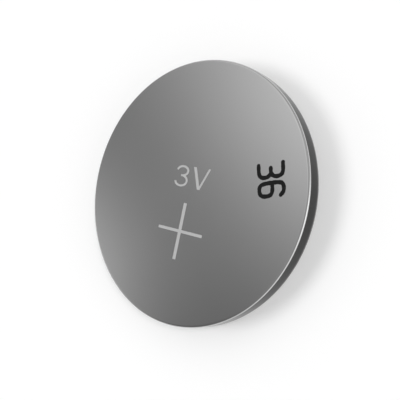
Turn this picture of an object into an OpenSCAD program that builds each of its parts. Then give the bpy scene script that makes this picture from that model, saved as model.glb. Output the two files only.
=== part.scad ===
// Lithium coin cell, 20 mm across and 2.5 mm thick, lying on its negative face.
// The origin is at the centre of that face, and the positive face points up.
// Every piece is turned about the upright axis. A section is drawn with the distance
// from the axis along X and the height above the negative face along Y.

/* [Cell] */
// Outside diameter of the cell
cell_d = 20; // [17:0.5:25]
// Thickness of the cell, from face to face
cell_h = 2.5; // [2.3:0.1:3.6]

/* [Positive can] */
// Thickness of the can's sheet
can_t = 0.25; // [0.2:0.01:0.3]
// Inner radius of the corner between the positive face and the wall
can_corner_in = 0.05; // [0.02:0.01:0.3]
// Inner radius of the bend that curls the wall over the gasket
crimp_in = 0.95; // [0.85:0.01:1.05]
// Angle of that bend, in degrees
crimp_angle = 75; // [68:1:80]
// Straight end of the sheet past the bend
crimp_lip = 0.15; // [0.1:0.01:0.25]

/* [Negative cap] */
// Thickness of the cap's sheet
cap_t = 0.25; // [0.2:0.01:0.3]
// How far the negative face stands out past the crimp
cap_stand = 0.3; // [0.22:0.01:0.5]
// Inner radius of the corner round the negative face
cap_corner_in = 0.2; // [0.1:0.01:0.25]
// Radius of the hollow corner between the flank and the shoulder
cap_neck_r = 0.15; // [0.1:0.01:0.2]
// Flat width of the shoulder that the crimp presses on
cap_shoulder_w = 0.25; // [0.15:0.01:0.5]
// Inner radius of the corner between the shoulder and the skirt
cap_skirt_in = 0.05; // [0.02:0.01:0.1]

/* [Sealing gasket] */
// Thickness of the gasket between the skirt and the can's wall
gasket_wall = 0.35; // [0.25:0.01:0.45]
// Thickness of the gasket between the crimp's end and the shoulder
gasket_pinch = 0.25; // [0.2:0.01:0.35]
// Thickness of the gasket between the skirt's end and the can's floor
gasket_base = 0.3; // [0.2:0.01:0.4]
// Thickness of the gasket's inner wall, inside the skirt
gasket_inner_t = 0.25; // [0.15:0.01:0.35]
// How far the inner wall rises beside the skirt
gasket_inner_h = 0.45; // [0.3:0.01:0.6]
// Radius of the gasket's outer corner, which clears the can's own corner
gasket_corner_r = 0.2; // [0.15:0.01:0.3]
// How far the gasket's end lies back from the crimp
gasket_recess = 0.2; // [0.17:0.01:0.22]

/* [Electrodes] */
// Thickness of the lithium disc
lithium_t = 0.5; // [0.4:0.01:0.6]
// How far the lithium's edge lies inside the pellet's edge
lithium_inset = 0.2; // [0.1:0.05:0.5]
// Radius of the lithium's pressed edges
lithium_edge_r = 0.1; // [0.05:0.01:0.18]
// Thickness of the separator
separator_t = 0.15; // [0.1:0.01:0.2]
// Room between the separator and the cap's flank
separator_gap = 0.15; // [0.1:0.01:0.3]
// Height of the separator's rim
separator_h = 0.8; // [0.5:0.05:1]
// Room between the separator's rim and the cathode ring
ring_gap = 0.05; // [0.02:0.01:0.1]
// Thickness of the cathode ring's sheet
ring_t = 0.1; // [0.08:0.01:0.15]
// Height of the cathode ring's wall
ring_h = 0.8; // [0.5:0.05:1]
// Width of the cathode ring's foot
ring_foot_w = 0.9; // [0.5:0.05:1.5]
// Size of the bevel on the pellet's edges
pellet_bevel = 0.1; // [0.06:0.01:0.2]
// Room between the pellet's raised middle and the ring's foot
pellet_fit = 0.02; // [0.01:0.01:0.05]

/* [Hidden] */
$fn = 120;

// Can
cell_r = cell_d / 2;
can_inner_r = cell_r - can_t;
can_floor_z = cell_h - can_t;
can_corner_r = can_corner_in + can_t;
crimp_r = crimp_in + can_t;
crimp_x = cell_r - crimp_r;
crimp_z = cap_stand + crimp_r * sin(crimp_angle) + crimp_lip * cos(crimp_angle);

// Cap
skirt_r = can_inner_r - gasket_wall;
skirt_inner_r = skirt_r - cap_t;
skirt_end_z = can_floor_z - gasket_base;
skirt_corner_r = cap_skirt_in + cap_t;
skirt_corner_x = skirt_r - skirt_corner_r;
shoulder_z = cap_stand + can_t + gasket_pinch;
neck_x = skirt_corner_x - cap_shoulder_w;
neck_z = shoulder_z - cap_neck_r;
flank_r = neck_x - cap_neck_r;
flank_inner_r = flank_r - cap_t;
cap_corner_r = cap_corner_in + cap_t;
cap_corner_x = flank_r - cap_corner_r;

// Gasket
channel_z = skirt_end_z - gasket_inner_h;
channel_r = skirt_inner_r - gasket_inner_t;
gasket_end_z = cap_stand + gasket_recess;

// Electrodes
separator_r = flank_inner_r - separator_gap;
separator_z = cap_t + lithium_t;
ring_r = separator_r - separator_t - ring_gap;
pellet_r = ring_r - ring_t;
pellet_z = separator_z + separator_t;
lithium_r = pellet_r - lithium_inset;

// A rectangle of the section, between two radii and two heights
module strip(r_from, r_to, z_from, z_to) {
    polygon([[r_from, z_from], [r_to, z_from], [r_to, z_to], [r_from, z_to]]);
}

// A bend of the section, about its centre, from one angle to another up to 90 degrees on
module bend(x, z, r_in, r_out, from, to) {
    translate([x, z])
        intersection() {
            difference() {
                circle(r = r_out);
                if (r_in > 0) circle(r = r_in);
            }
            rotate(from) square(2 * r_out);
            rotate(to - 90) square(2 * r_out);
        }
}

// The straight end of the crimp, between two distances from the bend's centre
module lip(r_in, r_out) {
    translate([crimp_x, crimp_z])
        rotate(-crimp_angle)
            translate([r_in, -crimp_lip])
                square([r_out - r_in, crimp_lip]);
}

module can_section() {
    corner_x = cell_r - can_corner_r;
    corner_z = cell_h - can_corner_r;
    strip(0, corner_x, can_floor_z, cell_h);
    bend(corner_x, corner_z, can_corner_in, can_corner_r, 0, 90);
    strip(can_inner_r, cell_r, crimp_z, corner_z);
    bend(crimp_x, crimp_z, crimp_in, crimp_r, -crimp_angle, 0);
    lip(crimp_in, crimp_r);
}

module cap_section() {
    strip(0, cap_corner_x, 0, cap_t);
    bend(cap_corner_x, cap_corner_r, cap_corner_in, cap_corner_r, -90, 0);
    strip(flank_inner_r, flank_r, cap_corner_r, neck_z);
    bend(neck_x, neck_z, cap_neck_r, cap_neck_r + cap_t, 90, 180);
    strip(neck_x, skirt_corner_x, shoulder_z, shoulder_z + cap_t);
    bend(skirt_corner_x, shoulder_z + skirt_corner_r, cap_skirt_in, skirt_corner_r, -90, 0);
    strip(skirt_inner_r, skirt_r, shoulder_z + skirt_corner_r, skirt_end_z);
}

// The channel that holds the skirt's end, the wall beside the can, and what the crimp squeezes
module gasket_section() {
    corner_x = can_inner_r - gasket_corner_r;
    corner_z = can_floor_z - gasket_corner_r;
    difference() {
        union() {
            strip(channel_r, corner_x, channel_z, can_floor_z);
            bend(corner_x, corner_z, 0, gasket_corner_r, 0, 90);
            strip(skirt_r - cap_t / 2, can_inner_r, crimp_z, corner_z);
            bend(crimp_x, crimp_z, 0, crimp_in, -90, 0);
            lip(0, crimp_in);
            strip(flank_r, skirt_corner_x, gasket_end_z, shoulder_z + cap_t / 2);
        }
        can_section();
        cap_section();
        strip(0, skirt_r - cap_t / 2, shoulder_z + cap_t / 2, channel_z);
        strip(0, channel_r, shoulder_z + cap_t / 2, can_floor_z);
    }
}

// An L of thin sheet: its wall grips the pellet, and its foot lies on the can's floor
module ring_section() {
    bend_r = pellet_bevel + ring_t;
    strip(ring_r - ring_foot_w, ring_r - bend_r, can_floor_z - ring_t, can_floor_z);
    bend(ring_r - bend_r, can_floor_z - bend_r, pellet_bevel, bend_r, 0, 90);
    strip(pellet_r, ring_r, can_floor_z - ring_h, can_floor_z - bend_r);
}

// The pellet has a step round its edge, which takes the ring's foot
module pellet_section() {
    step_z = can_floor_z - ring_t;
    middle_r = ring_r - ring_foot_w - pellet_fit;
    polygon([
        [0, pellet_z],
        [pellet_r - pellet_bevel, pellet_z],
        [pellet_r, pellet_z + pellet_bevel],
        [pellet_r, step_z - pellet_bevel],
        [pellet_r - pellet_bevel, step_z],
        [middle_r, step_z],
        [middle_r, can_floor_z],
        [0, can_floor_z]
    ]);
}

// A shallow cup between the electrodes, whose rim stands round the cathode
module separator_section() {
    bend_r = 2 * separator_t;
    strip(0, separator_r - bend_r, separator_z, separator_z + separator_t);
    bend(separator_r - bend_r, separator_z + bend_r, bend_r - separator_t, bend_r, -90, 0);
    strip(separator_r - separator_t, separator_r, separator_z + bend_r, separator_z + separator_h);
}

module lithium_section() {
    side_x = lithium_r - lithium_edge_r;
    strip(0, side_x, cap_t, separator_z);
    strip(side_x, lithium_r, cap_t + lithium_edge_r, separator_z - lithium_edge_r);
    bend(side_x, cap_t + lithium_edge_r, 0, lithium_edge_r, -90, 0);
    bend(side_x, separator_z - lithium_edge_r, 0, lithium_edge_r, 0, 90);
}

module positive_can() {
    color("silver") rotate_extrude() can_section();
}

module sealing_gasket() {
    color("ivory") rotate_extrude() gasket_section();
}

module negative_cap() {
    color("lightgray") rotate_extrude() cap_section();
}

module cathode_ring() {
    color("gainsboro") rotate_extrude() ring_section();
}

module cathode_pellet() {
    color("dimgray") rotate_extrude() pellet_section();
}

module separator() {
    color("whitesmoke") rotate_extrude() separator_section();
}

module lithium_anode() {
    color("darkgray") rotate_extrude() lithium_section();
}

positive_can();
sealing_gasket();
negative_cap();
cathode_ring();
cathode_pellet();
separator();
lithium_anode();
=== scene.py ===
# %% [markdown]
# # A lithium coin cell in Blender
# The construction of the cell is already packed: a drawn steel can, a stepped steel cap, the plastic
# gasket that the crimp squeezes between them, and the electrodes sealed inside. This notebook dresses
# that frame. It makes fine meshes for the three pieces that can be seen, presses the marks into the
# positive face, prints a number in ink, and gives every piece a finish made from nodes.

# %% Load the frame
import math
import bmesh
import bpy
import numpy as np
from mathutils import Matrix, Vector
from mathutils.geometry import delaunay_2d_cdt


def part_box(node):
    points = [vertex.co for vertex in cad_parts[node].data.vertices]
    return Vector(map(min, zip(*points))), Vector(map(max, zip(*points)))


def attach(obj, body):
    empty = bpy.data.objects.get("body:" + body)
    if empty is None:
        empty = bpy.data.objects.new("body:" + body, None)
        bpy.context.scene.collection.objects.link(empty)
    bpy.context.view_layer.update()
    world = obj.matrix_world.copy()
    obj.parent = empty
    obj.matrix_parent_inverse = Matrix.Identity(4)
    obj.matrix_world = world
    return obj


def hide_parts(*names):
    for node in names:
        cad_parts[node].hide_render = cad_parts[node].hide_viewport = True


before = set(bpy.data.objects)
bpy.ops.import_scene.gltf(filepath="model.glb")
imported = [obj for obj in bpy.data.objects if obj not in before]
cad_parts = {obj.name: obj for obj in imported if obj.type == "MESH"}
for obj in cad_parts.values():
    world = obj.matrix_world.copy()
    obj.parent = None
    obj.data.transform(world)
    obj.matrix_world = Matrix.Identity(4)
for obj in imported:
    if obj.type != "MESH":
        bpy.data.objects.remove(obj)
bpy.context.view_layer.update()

MM = 0.001
scene = bpy.context.scene

# %% [markdown]
# ## The sizes that the pieces share
# The frame already knows how large each node is, so the outer sizes are read from it. What a box can't
# tell, such as the thickness of the sheet and the radius of each bend, is named here once. Everything
# is in millimetres, as on a drawing, and is turned into metres when a mesh is made.

# %% Sizes in millimetres
def node_box(node):
    """The lowest and the highest corner of a CAD node, in millimetres."""
    return [np.array(corner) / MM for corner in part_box(node)]


can_low, can_high = node_box("positive_can")
cap_high = node_box("negative_cap")[1]
gasket_low, gasket_high = node_box("sealing_gasket")
CELL_R, FACE_Z = can_high[0], can_high[2]
SHEET = 0.25
CORNER_IN, CORNER_OUT = 0.05, 0.18
CRIMP_IN, CRIMP_ANGLE, CRIMP_LIP = 0.95, 75, 0.15
CRIMP_OUT = CRIMP_IN + SHEET
CRIMP_X = CELL_R - CRIMP_OUT
CRIMP_Z = (can_low[2] + CRIMP_OUT * math.sin(math.radians(CRIMP_ANGLE))
           + CRIMP_LIP * math.cos(math.radians(CRIMP_ANGLE)))
SKIRT_R, SKIRT_END = cap_high[0], cap_high[2]
SHOULDER_Z = 0.8
CAP_CORNER_IN, NECK_R, SKIRT_IN, SHOULDER_W = 0.2, 0.15, 0.05, 0.25
CAP_CORNER_OUT, SKIRT_OUT = CAP_CORNER_IN + SHEET, SKIRT_IN + SHEET
NECK_X = SKIRT_R - SKIRT_OUT - SHOULDER_W
FLANK_R = NECK_X - NECK_R
SKIRT_INNER_R = SKIRT_R - SHEET
GASKET_R, GASKET_TOP, GASKET_END = gasket_high[0], gasket_high[2], gasket_low[2]
GASKET_INNER_T, GASKET_INNER_H, GASKET_CORNER = 0.25, 0.45, 0.2
ROUND_SEGMENTS = 360
print(f"cell {2 * CELL_R:.1f} mm across and {FACE_Z:.1f} mm thick, wall straight above {CRIMP_Z:.2f} mm")

# %% [markdown]
# ## The camera
# The photograph was taken from the side of the positive face, close enough for perspective to show, and
# the camera was rolled so that the marks stand almost upright. A camera can be placed by hand and
# turned until it looks right. Three things fix it better, and they were worked out from the outline of
# the face and its marks: where the eye is over the face, which point of the face is in the middle of
# the picture, and how far the picture is rolled. The lens then follows from how large the face is in
# the picture.

# %% Camera
SENSOR = 36.0
LENS = 49.5
EYE = (25.88, -0.65, FACE_Z + 31.7)
AIM = (1.426, -0.493, FACE_Z)
ROLL = math.radians(11.83)


def place_camera(eye, aim, roll, lens):
    """Camera at eye that looks at aim, with the face's +Y upwards, then rolled to the left by an angle."""
    back = (Vector(eye) - Vector(aim)).normalized()
    right = Vector((0, 1, 0)).cross(back).normalized()
    turn = Matrix((right, back.cross(right), back)).transposed().to_4x4() @ Matrix.Rotation(roll, 4, "Z")
    data = bpy.data.cameras.new("camera")
    data.sensor_width = SENSOR
    data.lens = lens
    data.clip_start = 1 * MM
    camera = bpy.data.objects.new("camera", data)
    camera.matrix_world = Matrix.Translation(Vector(eye) * MM) @ turn
    scene.collection.objects.link(camera)
    scene.camera = camera
    return camera


camera = place_camera(EYE, AIM, ROLL, LENS)
print("camera looks along", [round(v, 3) for v in -camera.matrix_world.col[2].xyz])

# %% [markdown]
# ## Shader maths that reads like arithmetic
# A finish is a formula: a little more roughness here, a darker tone there. In Blender each plus and
# times is a node with wires. The class below wraps one wire. Adding or multiplying two wires adds the
# Math node for it, so the formulas further down can be read as formulas. Any other kind of node comes
# from its one method, add.


# %% Wire class
class Wire:
    """One output in a node tree. Arithmetic on it adds Math nodes, and add() adds any other node."""

    def __init__(self, tree, socket=None):
        self.tree, self.socket = tree, socket

    def add(self, kind, settings=(), inputs=(), output=0):
        """A node of this kind: first its settings, then each input's value or wire. Gives one output."""
        node = self.tree.nodes.new("ShaderNode" + kind)
        for name, value in dict(settings).items():
            if name == "stops":
                ramp = node.color_ramp.elements
                while len(ramp) < len(value):
                    ramp.new(0.5)
                for element, (position, tone) in zip(ramp, value):
                    element.position, element.color = position, (tone, tone, tone, 1)
            else:
                setattr(node, name, value)
        for name, value in dict(inputs).items():
            if isinstance(value, Wire):
                self.tree.links.new(value.socket, node.inputs[name])
            else:
                node.inputs[name].default_value = value
        return Wire(self.tree, node.outputs[output])

    def math(self, operation, *others):
        return self.add("Math", {"operation": operation}, enumerate((self, *others)))

    def scaled(self, factors):
        """This vector with each of its three numbers multiplied by its own factor."""
        return self.add("VectorMath", {"operation": "MULTIPLY"}, {0: self, 1: factors})

    def rise(self, low, high):
        """0 below low, 1 above high, and smooth between them."""
        return self.add("MapRange", {"interpolation_type": "SMOOTHSTEP"}, {0: self, 1: low, 2: high})

    def __add__(self, other):
        return self.math("ADD", other)

    def __sub__(self, other):
        return self.math("SUBTRACT", other)

    def __rsub__(self, other):
        return self.add("Math", {"operation": "SUBTRACT"}, {0: other, 1: self})

    def __mul__(self, other):
        return self.math("MULTIPLY", other)

    __radd__ = __add__
    __rmul__ = __mul__


# %% [markdown]
# ## What the steel mirrors
# Polished steel is a mirror, so what it looks like is what stands round it. The photograph's face is
# bright towards the upper right, has a dark valley across it from the upper left to the bottom, and
# lightens again at the lower left. Soft boxes could be built for that, but their edges would show. Here
# each is a round glow in the world's own shader, whose strength falls off as a bell curve with the
# angle from its middle. A wide belt of light lies round the horizon, as pale walls do in a studio. The
# last but one glow is low on the camera's side, where the face can't show it: it draws the thin bright
# line along the near corner. That glow and the base light were set one by one. The numbers of the belt
# and of the other six glows come from a least squares fit to how light the face and its corner are in
# the photograph. It was made once, outside this notebook. Its results were rounded, and turned by about
# two degrees when the camera was.

# %% World
GLOWS = (
    # Azimuth and angle from straight up in degrees, strength in the middle, sharpness
    (146, 26.6, 0.72, 25),
    (195, 58.8, 1.17, 45),
    (129, 55.3, 0.57, 12.7),
    (62, 42, 0.49, 5.5),
    (290, 19.5, 0.31, 6.4),
    (0, 76, 1.6, 14),
    (-42, 86, 0.6, 10),
)
BASE_LIGHT = 0.02
BELT = {"height": 0.157, "width": 0.353, "strength": 0.288}


def light_world(glows, belt, base):
    """Strength = base + belt + the sum over the glows of strength * exp(sharpness * (cos(angle) - 1))."""
    world = bpy.data.worlds.new("studio")
    scene.world = world
    world.use_nodes = True
    tree = world.node_tree
    direction = Wire(tree).add("TexCoord", output="Generated")
    level = (direction.add("SeparateXYZ", {}, {0: direction}, "Z") - belt["height"]) * (1 / belt["width"])
    total = base + belt["strength"] * (-1 * level * level).math("EXPONENT")
    for azimuth, lean, strength, sharpness in glows:
        a, b = math.radians(azimuth), math.radians(lean)
        middle = (math.sin(b) * math.cos(a), math.sin(b) * math.sin(a), math.cos(b))
        inputs = {0: direction, 1: middle}
        cosine = direction.add("VectorMath", {"operation": "DOT_PRODUCT"}, inputs, "Value")
        total = total + strength * (sharpness * (cosine - 1)).math("EXPONENT")
    background = next(n for n in tree.nodes if n.type == "BACKGROUND")
    tree.links.new(total.socket, background.inputs["Strength"])
    background.inputs["Color"].default_value = (1, 1, 1, 1)


light_world(GLOWS, BELT, BASE_LIGHT)
print(len(GLOWS), "glows in the world")

# %% [markdown]
# ## Lamps that the steel doesn't mirror
# The world's glows are weak, because the steel shows them as they are. On their own they leave the
# floor grey. Two wide, soft suns bring it up to white. One leans over from the far side of the cell and
# gives the shadow. The other comes from the camera's side and lights the floor right up to the foot of
# the crimp, so that the dark wall stands out against it. A photographer would cross two polarising
# filters to keep such lamps out of the steel. Here their glossy rays are switched off.

# %% Lamps
LAMPS = (
    # Azimuth, angle from straight up, width in degrees, share of white on the floor
    (197, 30, 26, 0.22),
    (17, 42, 20, 0.35),
)


def hang_lamp(azimuth, lean, spread, light):
    """A sun of strength light * pi / cos(lean), which adds that share of white to a level surface."""
    data = bpy.data.lights.new("lamp", "SUN")
    data.energy = light * math.pi / math.cos(math.radians(lean))
    data.angle = math.radians(spread)
    lamp = bpy.data.objects.new("lamp", data)
    lamp.rotation_euler = (0, math.radians(lean), math.radians(azimuth))
    lamp.visible_glossy = False
    scene.collection.objects.link(lamp)
    return lamp


lamps = [hang_lamp(*place) for place in LAMPS]
print("lamp strengths", [round(lamp.data.energy, 2) for lamp in lamps])

# %% [markdown]
# ## The floor
# A plain pale board. It is a hair below the cell, so that the two flat faces don't fight for the same
# place.

# %% Floor
FLOOR_SIZE = 2000
FLOOR_GAP = 0.01
FLOOR_TONE = 0.97


def make_floor():
    """One square without gloss, whose corners lie half its size from the middle along X and Y."""
    half = FLOOR_SIZE / 2 * MM
    mesh = bpy.data.meshes.new("floor")
    corners = [(-half, -half), (half, -half), (half, half), (-half, half)]
    mesh.from_pydata([(x, y, -FLOOR_GAP * MM) for x, y in corners], [], [(0, 1, 2, 3)])
    floor = bpy.data.objects.new("floor", mesh)
    scene.collection.objects.link(floor)
    material = bpy.data.materials.new("floor_board")
    material.use_nodes = True
    shader = next(n for n in material.node_tree.nodes if n.type == "BSDF_PRINCIPLED")
    shader.inputs["Base Color"].default_value = (FLOOR_TONE, FLOOR_TONE, FLOOR_TONE, 1)
    shader.inputs["Roughness"].default_value = 1
    shader.inputs["Specular IOR Level"].default_value = 0
    mesh.materials.append(material)
    return floor


make_floor()
print(f"floor {FLOOR_SIZE} mm wide, {FLOOR_GAP} mm below the cell")

# %% [markdown]
# ## Turning a section into a piece
# The can and the cap are drawn in round dies, and the gasket is moulded, so all three are bodies of
# revolution. The tool for that is a section, the outline that a saw would show, and one function that
# turns it about the axis. The Screw modifier would do it too. Worked out with numpy, the last column of
# faces leads back to the first, so the seam is closed from the start.


# %% Arcs and revolved surfaces
SAME_POINT = 1e-6


def arc(x, z, radius, start, end, steps):
    """Points on a circle about (x, z): x + radius cos(angle), z + radius sin(angle), angles in degrees."""
    angle = np.radians(np.linspace(start, end, steps + 1))
    return np.stack([x + radius * np.cos(angle), z + radius * np.sin(angle)], axis=1)


def section(*parts):
    """One list of (radius, height) points from single points and arcs, without repeats."""
    points = np.concatenate([np.atleast_2d(part) for part in parts])
    keep = np.ones(len(points), bool)
    keep[1:] = np.linalg.norm(np.diff(points, axis=0), axis=1) > SAME_POINT
    return points[keep]


def ring_quads(rows, down, count):
    """Quads that join each ring in rows to its neighbour in down, with count points in every ring."""
    here, there = np.arange(count), (np.arange(count) + 1) % count
    quads = [rows * count + here, rows * count + there, down * count + there, down * count + here]
    return np.stack(np.broadcast_arrays(*quads), axis=-1).reshape(-1, 4)


def revolve(points, closed=False):
    """Vertices (r cos a, r sin a, z) for each point and each angle a, and the quads between neighbours."""
    angle = 2 * np.pi * np.arange(ROUND_SEGMENTS) / ROUND_SEGMENTS
    r, z = points[:, 0, None], points[:, 1, None]
    x, y = r * np.cos(angle), r * np.sin(angle)
    vertices = np.stack([x, y, np.broadcast_to(z, x.shape)], axis=-1).reshape(-1, 3)
    rows = np.arange(len(points) if closed else len(points) - 1)[:, None]
    return vertices, ring_quads(rows, (rows + 1) % len(points), ROUND_SEGMENTS)


# %% [markdown]
# A mesh that is put together from surfaces has doubled points where they meet, and at the pole a whole
# ring falls on one point. They are merged, which also turns the flat quads there into triangles. Only
# then are the normals worked out, and edges sharper than a set angle are marked, so that bends shade
# smoothly and cut edges stay crisp.


# %% Mesh from surfaces
SHARP = math.radians(35)
WELD = 1e-5


def make_piece(name, surfaces, materials):
    """A closed mesh from a list of (vertices in mm, faces, material index of each face or one for all)."""
    vertices, faces, slots, first = [], [], [], 0
    for points, quads, slot in surfaces:
        vertices.append(points)
        faces += (np.asarray(quads) + first).tolist()
        slots.append(np.broadcast_to(slot, len(quads)))
        first += len(points)
    mesh = bpy.data.meshes.new(name)
    mesh.from_pydata((np.concatenate(vertices) * MM).tolist(), [], faces)
    mesh.polygons.foreach_set("material_index", np.concatenate(slots).astype(np.int32))
    work = bmesh.new()
    work.from_mesh(mesh)
    bmesh.ops.remove_doubles(work, verts=work.verts, dist=WELD * MM)
    bmesh.ops.recalc_face_normals(work, faces=work.faces)
    holes = sum(not e.is_manifold for e in work.edges)
    work.to_mesh(mesh)
    work.free()
    mesh.shade_smooth()
    mesh.set_sharp_from_angle(angle=SHARP)
    for material in materials:
        mesh.materials.append(material)
    piece = bpy.data.objects.new(name, mesh)
    scene.collection.objects.link(piece)
    print(f"{name}: {len(mesh.polygons)} faces, {holes} open edges")
    return piece


# %% [markdown]
# ## What the finishes start from
# Every finish needs the same beginning: a Principled shader and the place on the piece in millimetres.
# Noise is read from that place. Stretching the place before the noise turns specks into lines, which is
# how rolled and drawn sheet gets its grain.


# %% Material helpers
def start_material(name, metallic, **constants):
    """A new material, the place on the piece in millimetres, and a function that plugs wires into it."""
    material = bpy.data.materials.new(name)
    material.use_nodes = True
    tree = material.node_tree
    shader = next(n for n in tree.nodes if n.type == "BSDF_PRINCIPLED")
    shader.inputs["Metallic"].default_value = metallic
    for socket, value in constants.items():
        shader.inputs[socket.replace("_", " ")].default_value = value
    place = Wire(tree).add("TexCoord", output="Object").scaled((1 / MM, 1 / MM, 1 / MM))

    def plug(**wires):
        for socket, wire in wires.items():
            tree.links.new(wire.socket, shader.inputs[socket.replace("_", " ")])

    return material, place, plug


def noise(place, per_mm, detail=2.0, roughness=0.5):
    """Noise from 0 to 1 with that many waves in a millimetre along each axis."""
    inputs = {"Vector": place.scaled(per_mm), "Scale": 1, "Detail": detail, "Roughness": roughness}
    return place.add("TexNoise", {}, inputs)


def grey_mix(factor, low, high, tint=(1, 1, 1)):
    """A colour between two greys, both multiplied by a tint."""
    ends = [tuple(level * t for t in tint) + (1,) for level in (low, high)]
    return factor.add("Mix", {"data_type": "RGBA"}, {0: factor, 6: ends[0], 7: ends[1]}, 2)


def bump(height, depth_mm):
    """A normal bent by a height from 0 to 1, where 1 stands depth_mm high."""
    return height.add("Bump", {}, {"Strength": 1.0, "Distance": depth_mm * MM, "Height": height})


# %% [markdown]
# ## The can's steel
# The can is drawn from stainless sheet with a bright nickel coat. The face keeps the satin of the
# rolled sheet, with a grain so fine that it only softens the reflection. The wall was ironed by the
# die, which leaves faint upright lines. It is as bright as the face on a real cell, but the photograph
# shows it nearly black, most likely because it mirrors something dark. The floor here is white, so the
# wall's colour is painted nearly black instead: a painted dark reflection, chosen for the picture. The
# curl of the crimp doesn't show there and gets a middle grey, brighter than the wall and darker than
# the face. All three are one material, because they are one sheet, and the height above the negative
# face says where one passes into the next.


# %% Can steel
# Heights over which the face passes into the wall, and the wall into the curl. The painted dark
# reflection of the wall begins low on the corner, just below its highlight.
WALL_TOP = (FACE_Z - 0.15, FACE_Z - 0.11)
CURL_TOP = (0.45, 1.05)
WALL_TINT = (1.0, 0.995, 0.975)


def can_steel():
    """Three finishes, blended by height: clouds on the face, upright lines on the wall, whose colour is a
    painted dark reflection, and on the curl.
    """
    material, place, plug = start_material("can_steel", 1.0)
    height = place.add("SeparateXYZ", {}, {0: place}, 2)
    side = 1 - height.rise(*WALL_TOP)
    curl = 1 - height.rise(*CURL_TOP)
    cloud = noise(place, (0.12, 0.12, 0.12), 3.0)
    grain = noise(place, (3.0, 45.0, 3.0), 2.0)
    lines = noise(place, (22.0, 22.0, 0.25), 3.0)
    pores = noise(place, (14.0, 14.0, 14.0), 2.0)
    face_tone = grey_mix(cloud, 0.60, 0.64)
    # The wall's tone is a painted dark reflection, far darker than the steel itself.
    painted_dark_wall = grey_mix(lines, 0.024, 0.043, WALL_TINT)
    # The curl's tone is a middle grey, between the face and the painted dark of the wall.
    curl_grey = grey_mix(lines, 0.30, 0.38, WALL_TINT)
    wall_tone = curl.add("Mix", {"data_type": "RGBA"}, {0: curl, 6: painted_dark_wall, 7: curl_grey}, 2)
    tone = side.add("Mix", {"data_type": "RGBA"}, {0: side, 6: face_tone, 7: wall_tone}, 2)
    face_rough = 0.15 + 0.03 * cloud + 0.03 * pores
    wall_rough = 0.14 + 0.10 * lines
    plug(
        Base_Color=tone,
        Roughness=face_rough + side * (wall_rough - face_rough),
        Normal=bump(grain * (1 - side) + lines * side, 0.0002),
    )
    return material


# %% [markdown]
# ## Frosted marks
# The polarity sign and the rated voltage are pressed two hundredths of a millimetre into the face, and
# the die that presses them is etched, so their floors are full of tiny pits that scatter light from all
# sides. That is why they look paler than the mirror round them. A rough metal shader would still only
# mirror, and would miss the lamps, so three quarters of this finish is plain scattering and one quarter
# is metal.


# %% Frosted steel
def frosted_steel():
    """Pits of fine noise, which set the tone, the roughness and the relief together."""
    material, place, plug = start_material("frosted_steel", 0.25)
    pits = noise(place, (28.0, 28.0, 28.0), 3.0, 0.6)
    plug(
        Base_Color=grey_mix(pits, 0.46, 0.62),
        Roughness=0.62 + 0.12 * pits,
        Normal=bump(pits, 0.004),
    )
    return material


# %% [markdown]
# ## The outline of each mark
# A mark could be a picture projected onto the face, but a pressed mark is a shape, and it should be one
# from close up too. The plus is one outline. The V is one as well, given by its height, its width and
# the widths of its two arms. The 3 is two bowls, each a band along part of an ellipse, that meet in the
# middle. As in most type, the upright strokes are heavier than the level ones.


# %% Mark outlines
PLUS = {"x": 0.15, "y": -3.06, "arm": 2.12, "upright": 0.29, "level": 0.22}
DIGIT = {"x": -0.73, "top": 1.83, "bottom": 0.21, "width": 1.3, "upright": 0.19, "level": 0.15}
LETTER = {"x": 1.05, "top": 1.83, "bottom": 0.21, "width": 1.6, "left": 0.25, "right": 0.17}
LETTER_TIP = 0.3
BOWL_POINTS = 40
BOWLS = (
    # Share of the height, share of the width, first and last angle in degrees
    (0.47, 0.93, 174, -100),
    (0.53, 1.0, 100, -170),
)


def band(path, upright, level):
    """The path moved to both sides by half of level + (upright - level) * |rise|, as one closed outline."""
    along = np.gradient(path, axis=0)
    along /= np.linalg.norm(along, axis=1, keepdims=True)
    width = level + (upright - level) * np.abs(along[:, 1, None])
    left = np.stack([-along[:, 1], along[:, 0]], axis=1) * width / 2
    return np.concatenate([path - left, (path + left)[::-1]])


def plus_outline(x, y, arm, upright, level):
    """Twelve corners of a plus: three for the upper right quarter, mirrored into the other quarters."""
    a, b = upright / 2, level / 2
    quarter = np.array([(arm, b), (a, b), (a, arm)])
    half = np.concatenate([quarter, (quarter * (-1, 1))[::-1]])
    return np.concatenate([half, -half]) + (x, y)


def v_outline(x, top, bottom, width, left, right):
    """Seven corners: two arms, each with its own width, that lean together down to a flat tip."""
    tip, half, height = LETTER_TIP * (left + right), width / 2, top - bottom
    run = half - tip
    slant = math.hypot(run, height) / height
    left_cut, right_cut = left * slant, right * slant
    crotch_x = (left_cut - right_cut) / 2
    crotch = bottom + height * (1 - (half - (left_cut + right_cut) / 2) / run)
    corners = [(-half, top), (-tip, bottom), (tip, bottom), (half, top), (half - right_cut, top),
               (crotch_x, crotch), (left_cut - half, top)]
    return np.array(corners) + (x, 0)


def three_outlines(x, top, bottom, width, upright, level):
    """Two bands on ellipses. The lower bowl is a little wider and taller than the upper one."""
    height, half = top - bottom - level, (width - upright) / 2
    rises = [share * height / 2 for share, *_ in BOWLS]
    centres = (top - level / 2 - rises[0], bottom + level / 2 + rises[1])
    outlines = []
    for centre, rise, (_, reach, start, end) in zip(centres, rises, BOWLS):
        angle = np.radians(np.linspace(start, end, BOWL_POINTS))
        path = np.stack([x + reach * half * np.cos(angle), centre + rise * np.sin(angle)], axis=1)
        outlines.append(band(path, upright, level))
    return outlines


marks = [
    plus_outline(**PLUS),
    v_outline(**LETTER),
    *three_outlines(**DIGIT),
]
print(len(marks), "outlines pressed into the face")

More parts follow.
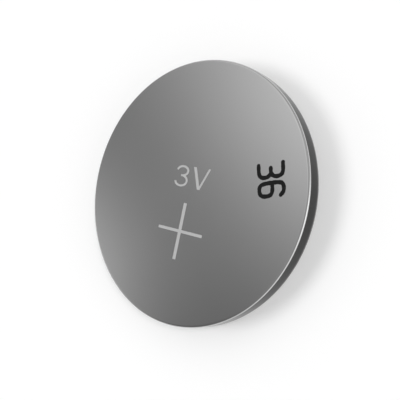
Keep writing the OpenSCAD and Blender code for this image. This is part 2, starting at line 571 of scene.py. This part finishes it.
# %% [markdown]
# ## A face with marks pressed into it
# Cutting the marks with the Boolean modifier works, but leaves slivers on so large a flat face. Here
# the face is laid out flat first: the rim, a few rings of loose points and the outlines of the marks go
# into one triangulation, which then knows for every triangle whether it lies inside a mark. Those
# triangles are lowered by the depth of the mark, and a strip of wall is put along every edge where a
# low one meets a high one.


# %% Pressed face
MARK_DEPTH = 0.02
RINGS = (
    # Distance from the rim of the face, and how many points
    (0.05, 360),
    (0.6, 180),
    (2.2, 90),
    (4.2, 72),
    (6.4, 48),
)
# The triangulation keeps only what lies inside a loop, and takes points nearer than this for one
INSIDE_LOOPS, MERGE = 1, 1e-7


def pressed_face(rim_r, outlines, depth, z):
    """(vertices, faces, slots) of a flat disc whose outlined parts lie depth lower, as slot 1."""
    angle = 2 * np.pi * np.arange(ROUND_SEGMENTS) / ROUND_SEGMENTS
    points = [rim_r * np.stack([np.cos(angle), np.sin(angle)], axis=1), *outlines]
    ends = np.cumsum([len(p) for p in points])
    loops = [list(range(end - len(p), end)) for p, end in zip(points, ends)]
    for inset, count in RINGS:
        turn = 2 * np.pi * np.arange(count) / count
        points.append((rim_r - inset) * np.stack([np.cos(turn), np.sin(turn)], axis=1))
    flat = [Vector(p) for p in np.concatenate(points).tolist()]
    found, _, triangles, _, _, inside = delaunay_2d_cdt(flat, [], loops, INSIDE_LOOPS, MERGE)
    top = np.array([(p.x, p.y, z) for p in found])
    triangles = np.array(triangles)
    low = np.array([any(face > 0 for face in faces) for faces in inside])
    count = len(top)
    ring = triangles[low]
    start, end = ring.ravel(), np.roll(ring, -1, axis=1).ravel()
    lone = ~np.isin(start * count + end, end * count + start)
    start, end = start[lone], end[lone]
    walls = np.stack([start, end, end + count, start + count], axis=1)
    vertices = np.concatenate([top, top - (0, 0, depth)])
    used = np.zeros(2 * count, bool)
    used[triangles[~low]] = used[ring + count] = used[walls] = True
    new = np.cumsum(used) - 1
    return vertices[used], [(new[triangles[~low]], 0), (new[ring + count], 1), (new[walls], 1)]


# %% [markdown]
# ## The positive can
# The section starts at the rim of the flat face, rounds the corner, runs down the wall, curls in along
# the crimp to the sheared end of the sheet, and comes back on the inside to the middle of the can's
# floor. The outer corner is tighter than in the construction, because the photograph shows it as a line
# one pixel wide. The sheared end gets a tiny round, because no cut edge is perfectly sharp.

# %% Positive can
CUT_ROUND = 0.03


def crimp_point(radius, beyond):
    """A point at a radius from the bend's centre, at the end of the bend and then so far along the lip."""
    a = math.radians(CRIMP_ANGLE)
    return (CRIMP_X + radius * math.cos(a) - beyond * math.sin(a),
            CRIMP_Z - radius * math.sin(a) - beyond * math.cos(a))


def can_section():
    """Arcs from the face's rim to the sheared end, and back along the inside, a sheet in from the wall."""
    inner = CORNER_IN + SHEET
    outer_end = crimp_point(CRIMP_OUT - CUT_ROUND, CRIMP_LIP - CUT_ROUND)
    inner_end = crimp_point(CRIMP_IN + CUT_ROUND, CRIMP_LIP - CUT_ROUND)
    return section(
        arc(CELL_R - CORNER_OUT, FACE_Z - CORNER_OUT, CORNER_OUT, 90, 0, 18),
        arc(CRIMP_X, CRIMP_Z, CRIMP_OUT, 0, -CRIMP_ANGLE, 24),
        arc(*outer_end, CUT_ROUND, -CRIMP_ANGLE, -CRIMP_ANGLE - 90, 5),
        arc(*inner_end, CUT_ROUND, -CRIMP_ANGLE - 90, -CRIMP_ANGLE - 180, 5),
        arc(CRIMP_X, CRIMP_Z, CRIMP_IN, -CRIMP_ANGLE, 0, 20),
        arc(CELL_R - inner, FACE_Z - inner, CORNER_IN, 0, 90, 8),
        (0, FACE_Z - SHEET),
    )


def make_can():
    """The turned section, closed on top by the flat face with its marks."""
    turned = revolve(can_section())
    points, groups = pressed_face(CELL_R - CORNER_OUT, marks, MARK_DEPTH, FACE_Z)
    surfaces = [(*turned, 0)]
    for faces, slot in groups:
        surfaces.append((points, faces, slot))
    return make_piece("can", surfaces, [can_steel(), frosted_steel()])


can = make_can()
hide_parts("positive_can")
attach(can, "root")

# %% [markdown]
# ## The gasket
# It is moulded from polypropylene, with a channel for the cap's skirt, and the crimp squeezes it until
# it fills the room between the two sheets. Only its end shows, as a thin pale ring between the crimp
# and the cap, and that end bulges a little where the plastic was pushed out.

# %% Sealing gasket
BULGE, BULGE_POINTS = 0.04, 12


def gasket_plastic():
    """Flow lines: noise that has four times as many waves upwards as it has sideways."""
    material, place, plug = start_material("gasket_plastic", 0.0)
    flow = noise(place, (1.5, 1.5, 6.0), 3.0)
    plug(
        Base_Color=grey_mix(flow, 0.62, 0.74, (1.0, 0.98, 0.92)),
        Roughness=0.38 + 0.15 * flow,
        Normal=bump(flow, 0.004),
    )
    return material


def gasket_section():
    """Round the cap's skirt, through the channel, down along the can, and back on half a sine wave."""
    channel_r, channel_z = SKIRT_INNER_R - GASKET_INNER_T, SKIRT_END - GASKET_INNER_H
    lip_in = crimp_point(CRIMP_IN, CRIMP_LIP)
    across = np.linspace(0, 1, BULGE_POINTS)
    end_x = lip_in[0] + (FLANK_R - lip_in[0]) * across
    end_z = GASKET_END - BULGE * np.sin(np.pi * across)
    return section(
        (FLANK_R, GASKET_END),
        arc(NECK_X, SHOULDER_Z - NECK_R, NECK_R, 180, 90, 8),
        arc(SKIRT_R - SKIRT_OUT, SHOULDER_Z + SKIRT_OUT, SKIRT_OUT, -90, 0, 10),
        (SKIRT_R, SKIRT_END),
        (SKIRT_INNER_R, SKIRT_END),
        (SKIRT_INNER_R, channel_z),
        (channel_r, channel_z),
        (channel_r, GASKET_TOP),
        arc(GASKET_R - GASKET_CORNER, GASKET_TOP - GASKET_CORNER, GASKET_CORNER, 90, 0, 8),
        arc(CRIMP_X, CRIMP_Z, CRIMP_IN, 0, -CRIMP_ANGLE, 20),
        lip_in,
        np.stack([end_x, end_z], axis=1)[:-1],
    )


gasket = make_piece("gasket", [(*revolve(gasket_section(), closed=True), 0)], [gasket_plastic()])
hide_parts("sealing_gasket")
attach(gasket, "root")

# %% [markdown]
# ## The negative cap
# A stepped pan. Its flat middle is the negative face, which stands out past the crimp, so that a
# contact can reach it. Its finish is a fine stipple, duller than the can.


# %% Negative cap
def cap_steel():
    """A stipple of fine noise for the gloss and the relief, over wide clouds of tone."""
    material, place, plug = start_material("cap_steel", 1.0)
    stipple = noise(place, (9.0, 9.0, 9.0), 3.0, 0.6)
    cloud = noise(place, (0.2, 0.2, 0.2), 2.0)
    plug(
        Base_Color=grey_mix(cloud, 0.58, 0.64),
        Roughness=0.28 + 0.10 * stipple + 0.05 * cloud,
        Normal=bump(stipple, 0.003),
    )
    return material


def cap_section():
    """Out from the axis over three bends to the skirt's end, and back about the same three centres."""
    neck = (NECK_X, SHOULDER_Z - NECK_R)
    skirt = (SKIRT_R - SKIRT_OUT, SHOULDER_Z + SKIRT_OUT)
    face = (FLANK_R - CAP_CORNER_OUT, CAP_CORNER_OUT)
    return section(
        (0, 0),
        arc(*face, CAP_CORNER_OUT, -90, 0, 16),
        arc(*neck, NECK_R, 180, 90, 8),
        arc(*skirt, SKIRT_OUT, -90, 0, 10),
        (SKIRT_R, SKIRT_END),
        (SKIRT_INNER_R, SKIRT_END),
        arc(*skirt, SKIRT_IN, 0, -90, 6),
        arc(*neck, NECK_R + SHEET, 90, 180, 12),
        arc(*face, CAP_CORNER_IN, 0, -90, 10),
        (0, SHEET),
    )


cap = make_piece("cap", [(*revolve(cap_section()), 0)], [cap_steel()])
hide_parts("negative_cap")
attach(cap, "root")

# %% [markdown]
# ## The printed number
# After the cells are sealed, a print head writes a plain number on each face in black ink, at about a
# right angle to the pressed marks. Each stroke is a bead of ink: a flat dome with round ends, carried
# along a path with rounded corners, and its edge wavers a little.

# %% Ink strokes
INK = {"x": 6.94, "y": 1.78, "turn": -74.5, "height": 1.86, "width": 0.88, "pitch": 1.28}
INK_WIDTH = 0.30
INK_HEIGHT = 0.008
INK_STEP = 0.03
INK_SIDES = 16
END_RINGS = 7
WAVER = {"step": 0.45, "wide": 0.05, "fine": 0.04, "ratio": 2.7}
DIGIT_PATHS = {
    "3": (((0, 1), (0.75, 1), (1, 0.87), (1, 0.63), (0.72, 0.5), (0.3, 0.5)),
          ((0.72, 0.5), (1, 0.37), (1, 0.13), (0.75, 0), (0, 0))),
    "6": (((1, 0.87), (0.75, 1), (0.25, 1), (0, 0.87), (0, 0.13), (0.25, 0), (0.75, 0), (1, 0.13),
           (1, 0.42), (0.75, 0.54), (0.1, 0.54)),),
}


def rounded(path, cuts=2):
    """Corner cutting: each corner gives way to points a quarter of the way along both its sides."""
    for _ in range(cuts):
        near, far = 0.75 * path[:-1] + 0.25 * path[1:], 0.25 * path[:-1] + 0.75 * path[1:]
        middle = np.stack([near, far], axis=1).reshape(-1, 2)
        path = np.concatenate([path[:1], middle, path[-1:]])
    return path


def spaced(path, step):
    """The same path with points at even distances, about one step apart."""
    length = np.concatenate([[0], np.cumsum(np.linalg.norm(np.diff(path, axis=0), axis=1))])
    at = np.linspace(0, length[-1], max(3, int(length[-1] / step)))
    return np.stack([np.interp(at, length, path[:, i]) for i in (0, 1)], axis=1)


def ink_bead(path, z, seed):
    """Rings round the path: w cos(a) across it and root of sin(a) up, and w closes at the round ends."""
    path = spaced(path, INK_STEP)
    tangent = np.gradient(path, axis=0)
    tangent /= np.linalg.norm(tangent, axis=1, keepdims=True)
    half = INK_WIDTH / 2
    reach = half * np.sin(np.linspace(0, np.pi / 2, END_RINGS + 1))[1:]
    before = path[0] - tangent[0] * reach[::-1, None]
    after = path[-1] + tangent[-1] * reach[:, None]
    spine = np.concatenate([before, path, after])
    along = np.pad(tangent, ((END_RINGS, END_RINGS), (0, 0)), mode="edge")
    closing = np.sqrt(np.clip(1 - (reach / half) ** 2, 0, 1))
    wave = np.arange(len(spine)) * WAVER["step"] + seed
    waver = 1 + WAVER["wide"] * np.sin(wave) + WAVER["fine"] * np.sin(WAVER["ratio"] * wave + 1)
    width = half * waver * np.concatenate([closing[::-1], np.ones(len(path)), closing])
    across = np.stack([-along[:, 1], along[:, 0]], axis=1)
    angle = 2 * np.pi * np.arange(INK_SIDES) / INK_SIDES
    flat = spine[:, None] + across[:, None] * (width[:, None] * np.cos(angle))[..., None]
    rise = INK_HEIGHT * np.where(np.sin(angle) > 0, np.sqrt(np.abs(np.sin(angle))), np.sin(angle) / 2)
    height = z + rise * (width / width.max())[:, None]
    vertices = np.concatenate([flat, height[..., None]], axis=2).reshape(-1, 3)
    rows = np.arange(len(spine) - 1)[:, None]
    return vertices, ring_quads(rows, rows + 1, INK_SIDES), 0


def marking_ink():
    """Nearly black, with a speckle of noise that sets the tone, the roughness and the relief."""
    material, place, plug = start_material("marking_ink", 0.0, Specular_IOR_Level=0.2)
    speckle = noise(place, (16.0, 16.0, 16.0), 3.0, 0.6)
    plug(
        Base_Color=grey_mix(speckle, 0.005, 0.012),
        Roughness=0.45 + 0.25 * speckle,
        Normal=bump(speckle, 0.003),
    )
    return material


def print_number(digits):
    """The strokes of the digits, side by side, then turned and moved to their place on the face."""
    turn = math.radians(INK["turn"])
    spin = np.array([(math.cos(turn), math.sin(turn)), (-math.sin(turn), math.cos(turn))])
    size = np.array((INK["width"], INK["height"]))
    surfaces = []
    for i, digit in enumerate(digits):
        left = (i - (len(digits) - 1) / 2) * INK["pitch"] - INK["width"] / 2
        shift = np.array((left, -INK["height"] / 2))
        for j, path in enumerate(DIGIT_PATHS[digit]):
            path = (rounded(np.array(path, float) * size) + shift) @ spin + (INK["x"], INK["y"])
            surfaces.append(ink_bead(path, FACE_Z, 2.0 * i + j))
    return make_piece("printed_number", surfaces, [marking_ink()])


number = print_number("36")
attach(number, "root")

# %% [markdown]
# ## What is sealed inside
# Nothing of the electrodes can be seen, but the cell is built round them, so each gets its own finish.
# Their CAD shapes are right and stay.


# %% Inner finishes
def ring_steel():
    """Noise drawn out along the cell's axis, as fine upright lines."""
    material, place, plug = start_material("ring_steel", 1.0)
    lines = noise(place, (18.0, 18.0, 0.4))
    plug(Base_Color=grey_mix(lines, 0.56, 0.66), Roughness=0.18 + 0.12 * lines, Normal=bump(lines, 0.001))
    return material


def pressed_oxide():
    """Grains of noise, seven to a millimetre, dark and nearly without gloss."""
    material, place, plug = start_material("pressed_oxide", 0.0)
    grains = noise(place, (7.0, 7.0, 7.0), 4.0, 0.65)
    plug(Base_Color=grey_mix(grains, 0.016, 0.05), Roughness=0.72 + 0.2 * grains, Normal=bump(grains, 0.02))
    return material


def separator_fibre():
    """Half the sum of two noises that are drawn out in different directions, like crossing fibres."""
    material, place, plug = start_material("separator_fibre", 0.0)
    one_way, other_way = noise(place, (3.0, 14.0, 3.0), 3.0), noise(place, (14.0, 3.0, 14.0), 3.0)
    felt = 0.5 * (one_way + other_way)
    plug(Base_Color=grey_mix(felt, 0.74, 0.9), Roughness=0.8 + 0.15 * felt, Normal=bump(felt, 0.02))
    return material


def lithium_metal():
    """Rolling lines for the relief, over broad patches of film for the tone."""
    material, place, plug = start_material("lithium_metal", 1.0)
    rolled = noise(place, (0.5, 9.0, 0.5), 3.0)
    film = noise(place, (0.4, 0.4, 0.4), 3.0)
    plug(
        Base_Color=grey_mix(film, 0.5, 0.62, (1.0, 0.99, 0.97)),
        Roughness=0.38 + 0.2 * film + 0.1 * rolled,
        Normal=bump(rolled, 0.004),
    )
    return material


def dress(node, material):
    """Gives a CAD node its finish."""
    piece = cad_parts[node]
    if not piece.material_slots:
        piece.data.materials.append(material)
    for slot in piece.material_slots:
        slot.material = material


INNER = {
    "cathode_ring": ring_steel,
    "cathode_pellet": pressed_oxide,
    "separator": separator_fibre,
    "lithium_anode": lithium_metal,
}
for node, finish in INNER.items():
    dress(node, finish())
print("dressed inside:", ", ".join(INNER))

# %% [markdown]
# ## Finish
# The colours are shown through the Standard view transform.

# %% Finish
scene.view_settings.view_transform = "Standard"
